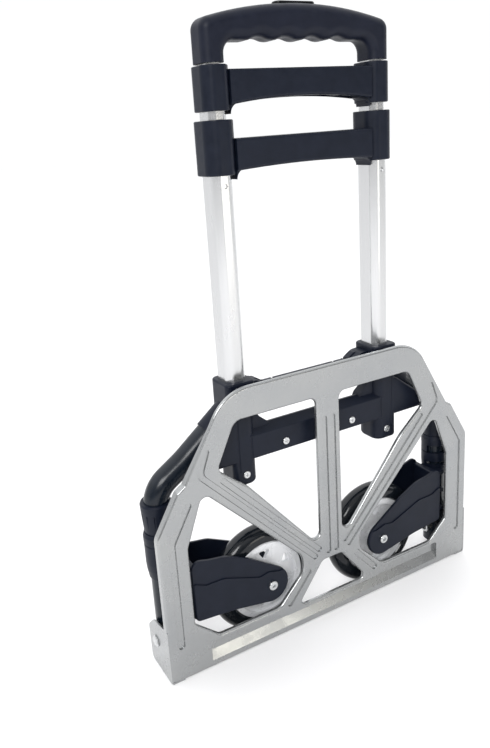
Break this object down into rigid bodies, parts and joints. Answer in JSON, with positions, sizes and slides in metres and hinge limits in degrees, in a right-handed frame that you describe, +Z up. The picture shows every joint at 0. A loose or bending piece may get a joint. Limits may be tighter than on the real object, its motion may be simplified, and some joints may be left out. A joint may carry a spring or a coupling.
{
  "type": "hand truck",
  "caption": "Folding hand truck with a telescoping handle, hinged toe plate and swing-out wheels, shown folded flat.",
  "frame": {"origin": "on the ground under the middle of the folded truck's bounding box", "axes": "+X across the truck to the right seen from the toe plate's outer face, +Y from the toe plate to the back, +Z up"},
  "size_m": [0.4058, 0.0536, 0.6312],
  "materials": {
    "plate_metal": "satin",
    "mast_aluminium": "satin anodised",
    "black_tube": "semi-gloss",
    "black_plastic": "fine matte grain",
    "handle_plastic": "soft matte",
    "button_plastic": "semi-gloss",
    "tyre_black": "polished",
    "hub_plastic": "satin",
    "zinc_steel": "zinc plated",
    "nylon": "natural"
  },
  "bodies": {
    "frame": {"side_tube_right": "black_tube", "side_tube_left": "black_tube", "tube_end_plugs": "black_plastic", "hinge_bolts": "zinc_steel", "hinge_washers": "nylon", "hinge_nuts": "zinc_steel", "swing_collar_right": "black_plastic", "swing_collar_left": "black_plastic", "stop_ring_right": "black_plastic", "stop_ring_left": "black_plastic", "guide_pins": "zinc_steel", "housing_front_shell": "black_plastic", "housing_rear_shell": "black_plastic", "housing_screws": "zinc_steel", "outer_tube_right": "mast_aluminium", "outer_tube_left": "mast_aluminium", "lower_cross_bar": "black_plastic", "lower_bar_screws": "zinc_steel"},
    "toe_plate": {"toe_plate": "plate_metal"},
    "bracket_right": {"wheel_bracket_right": "black_plastic", "axle_bolt_right": "zinc_steel", "axle_nut_right": "zinc_steel", "axle_spacers_right": "nylon"},
    "bracket_left": {"wheel_bracket_left": "black_plastic", "axle_bolt_left": "zinc_steel", "axle_nut_left": "zinc_steel", "axle_spacers_left": "nylon"},
    "wheel_right": {"tyre_right": "tyre_black", "wheel_hub_right": "hub_plastic", "wheel_bush_right": "nylon"},
    "wheel_left": {"tyre_left": "tyre_black", "wheel_hub_left": "hub_plastic", "wheel_bush_left": "nylon"},
    "middle_stage": {"middle_tube_right": "mast_aluminium", "middle_tube_left": "mast_aluminium", "upper_cross_bar": "black_plastic", "upper_bar_screws": "zinc_steel", "middle_tube_plugs": "nylon", "middle_lock_pins": "zinc_steel"},
    "handle_stage": {"inner_tube_right": "mast_aluminium", "inner_tube_left": "mast_aluminium", "inner_tube_plugs": "nylon", "inner_lock_pins": "zinc_steel", "handle_front_shell": "handle_plastic", "handle_rear_shell": "handle_plastic", "handle_screws": "zinc_steel", "spring_seats": "nylon", "release_springs": "zinc_steel"},
    "release": {"release_button": "button_plastic", "release_yoke": "nylon", "release_rods": "zinc_steel"}
  },
  "joints": [
    {"name": "toe_plate_hinge", "type": "hinge", "parent": "frame", "child": "toe_plate", "pos_m": [0, 0.0047, 0.0315], "axis": [1, 0, 0], "range_deg": [0, 90]},
    {"name": "bracket_right_swing", "type": "hinge", "parent": "frame", "child": "bracket_right", "pos_m": [0.184, 0.0082, 0.061], "axis": [0, 0, 1], "range_deg": [-90, 0]},
    {"name": "bracket_left_swing", "type": "hinge", "parent": "frame", "child": "bracket_left", "pos_m": [-0.184, 0.0082, 0.061], "axis": [0, 0, 1], "range_deg": [0, 90]},
    {"name": "wheel_right_spin", "type": "hinge", "parent": "bracket_right", "child": "wheel_right", "pos_m": [0.0753, 0.0007, 0.061], "axis": [0, 1, 0], "continuous": true},
    {"name": "wheel_left_spin", "type": "hinge", "parent": "bracket_left", "child": "wheel_left", "pos_m": [-0.0753, 0.0007, 0.061], "axis": [0, 1, 0], "continuous": true},
    {"name": "middle_slide", "type": "slide", "parent": "frame", "child": "middle_stage", "axis": [0, 0, 1], "range_m": [0, 0.185]},
    {"name": "handle_slide", "type": "slide", "parent": "middle_stage", "child": "handle_stage", "axis": [0, 0, 1], "range_m": [0, 0.185]},
    {"name": "release_press", "type": "slide", "parent": "handle_stage", "child": "release", "axis": [0, 0, -1], "range_m": [0, 0.005], "stiffness_N_per_m": 1200, "springref_m": -0.002, "deforming": ["release_springs"]}
  ],
  "couplings": [
    {"joint": "bracket_right_swing", "follows": "toe_plate_hinge", "ratio": -1},
    {"joint": "bracket_left_swing", "follows": "toe_plate_hinge", "ratio": 1}
  ]
}
